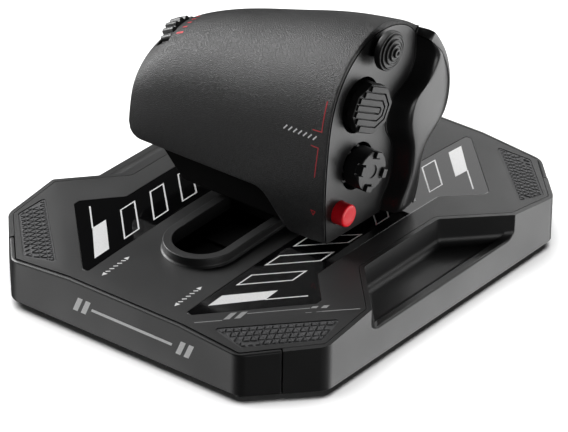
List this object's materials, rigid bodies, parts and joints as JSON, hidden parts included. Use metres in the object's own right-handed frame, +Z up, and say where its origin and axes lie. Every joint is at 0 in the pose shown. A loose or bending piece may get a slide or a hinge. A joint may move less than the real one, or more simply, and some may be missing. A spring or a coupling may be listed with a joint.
{
  "type": "flight joystick",
  "caption": "Desktop flight throttle: octagonal base with a long slot and side trays, and a palm-shaped sliding handle with thumb stick, hats, push button and dial.",
  "frame": {"origin": "middle of the base on the surface that the feet stand on", "axes": "+X to the user's right, +Y away from the user along the slot, +Z up"},
  "size_m": [0.2, 0.2484, 0.1426],
  "materials": {
    "matte_shell": "fine moulded texture",
    "grained_shell": "coarse leather-like moulded grain",
    "satin_shell": "satin",
    "gloss_inlay": "polished, with pale printed bars",
    "grip_rubber": "matte, triangular lattice",
    "foot_rubber": "matte",
    "control_cap": "satin",
    "red_cap": "satin gloss",
    "steel": "ground",
    "bronze": "machined",
    "circuit_board": "solder mask",
    "chip": "moulded",
    "socket_shell": "plated",
    "inner_moulding": "plain moulded"
  },
  "bodies": {
    "base": {"ballast_plate": "steel", "base_screws": "steel", "bottom_plate": "matte_shell", "deck_plate": "matte_shell", "foot_left_front": "foot_rubber", "foot_left_rear": "foot_rubber", "foot_right_front": "foot_rubber", "foot_right_rear": "foot_rubber", "front_end_bumper": "foot_rubber", "front_skirt": "matte_shell", "grip_pad_left_front": "grip_rubber", "grip_pad_left_rear": "grip_rubber", "grip_pad_right_front": "grip_rubber", "grip_pad_right_rear": "grip_rubber", "left_gloss_inlay": "gloss_inlay", "left_rail": "steel", "left_side_housing": "matte_shell", "main_board": "circuit_board", "position_sensor": "chip", "rail_bracket_front": "inner_moulding", "rail_bracket_rear": "inner_moulding", "rear_end_bumper": "foot_rubber", "rear_skirt": "matte_shell", "right_gloss_inlay": "gloss_inlay", "right_rail": "steel", "right_side_housing": "matte_shell", "slot_collar": "satin_shell", "usb_socket": "socket_shell"},
    "throttle": {"palm_hood": "grained_shell", "finger_shell": "satin_shell", "thumb_side_shell": "satin_shell", "lower_casing": "matte_shell", "end_cap": "matte_shell", "inner_frame": "inner_moulding", "grip_board": "circuit_board", "stem_column": "matte_shell", "carriage": "inner_moulding", "rail_bushes": "bronze", "sensor_magnet": "chip", "upper_dust_shutter": "matte_shell", "mini_stick_cup": "inner_moulding", "octagon_hat_cup": "inner_moulding", "castle_hat_cup": "inner_moulding", "red_button_switch": "chip", "index_button_switch": "chip", "middle_button_switch": "chip", "dial_bracket": "inner_moulding"},
    "lower_shutter": {"lower_dust_shutter": "matte_shell"},
    "mini_stick_gimbal": {"mini_stick_gimbal": "inner_moulding"},
    "mini_stick": {"mini_stick_cap": "control_cap"},
    "octagon_hat_gimbal": {"octagon_hat_gimbal": "inner_moulding"},
    "octagon_hat": {"octagon_hat_cap": "control_cap"},
    "castle_hat_gimbal": {"castle_hat_gimbal": "inner_moulding"},
    "castle_hat": {"castle_hat_cap": "control_cap"},
    "red_button": {"red_button": "red_cap"},
    "index_button": {"index_button": "control_cap"},
    "middle_button": {"middle_button": "control_cap"},
    "dial": {"dial_wheel": "control_cap"}
  },
  "joints": [
    {"name": "throttle_slide", "type": "slide", "parent": "base", "child": "throttle", "axis": [0, 1, 0], "range_m": [-0.038, 0.038]},
    {"name": "lower_shutter_slide", "type": "slide", "parent": "base", "child": "lower_shutter", "axis": [0, 1, 0], "range_m": [-0.019, 0.019]},
    {"name": "mini_stick_sideways", "type": "hinge", "parent": "throttle", "child": "mini_stick_gimbal", "pos_m": [0.043, 0.0086, 0.131], "axis": [0, 0, 1], "range_deg": [-10, 10], "stiffness_Nm_per_rad": 0.05},
    {"name": "mini_stick_updown", "type": "hinge", "parent": "mini_stick_gimbal", "child": "mini_stick", "pos_m": [0.043, 0.0086, 0.131], "axis": [0, 1, 0], "range_deg": [-10, 10], "stiffness_Nm_per_rad": 0.05},
    {"name": "octagon_hat_sideways", "type": "hinge", "parent": "throttle", "child": "octagon_hat_gimbal", "pos_m": [0.043, -0.0059, 0.1054], "axis": [0, 0, 1], "range_deg": [-5.5, 5.5], "stiffness_Nm_per_rad": 0.12},
    {"name": "octagon_hat_updown", "type": "hinge", "parent": "octagon_hat_gimbal", "child": "octagon_hat", "pos_m": [0.043, -0.0059, 0.1054], "axis": [0, 1, 0], "range_deg": [-5.5, 5.5], "stiffness_Nm_per_rad": 0.12},
    {"name": "castle_hat_sideways", "type": "hinge", "parent": "throttle", "child": "castle_hat_gimbal", "pos_m": [0.043, -0.0071, 0.0725], "axis": [0, 0, 1], "range_deg": [-7, 7], "stiffness_Nm_per_rad": 0.12},
    {"name": "castle_hat_updown", "type": "hinge", "parent": "castle_hat_gimbal", "child": "castle_hat", "pos_m": [0.043, -0.0071, 0.0725], "axis": [0, 1, 0], "range_deg": [-7, 7], "stiffness_Nm_per_rad": 0.12},
    {"name": "red_button_press", "type": "slide", "parent": "throttle", "child": "red_button", "axis": [-1, 0, 0], "range_m": [0, 0.002], "stiffness_N_per_m": 250, "springref_m": -0.002},
    {"name": "index_button_press", "type": "slide", "parent": "throttle", "child": "index_button", "axis": [0, -1, 0], "range_m": [0, 0.002], "stiffness_N_per_m": 250, "springref_m": -0.002},
    {"name": "middle_button_press", "type": "slide", "parent": "throttle", "child": "middle_button", "axis": [0, -1, 0], "range_m": [0, 0.002], "stiffness_N_per_m": 250, "springref_m": -0.002},
    {"name": "dial_turn", "type": "hinge", "parent": "throttle", "child": "dial", "pos_m": [-0.0617, -0.0009, 0.0996], "axis": [0.891, 0, 0.454], "range_deg": [-75, 75]}
  ],
  "couplings": [
    {"joint": "lower_shutter_slide", "follows": "throttle_slide", "ratio": 0.5}
  ]
}
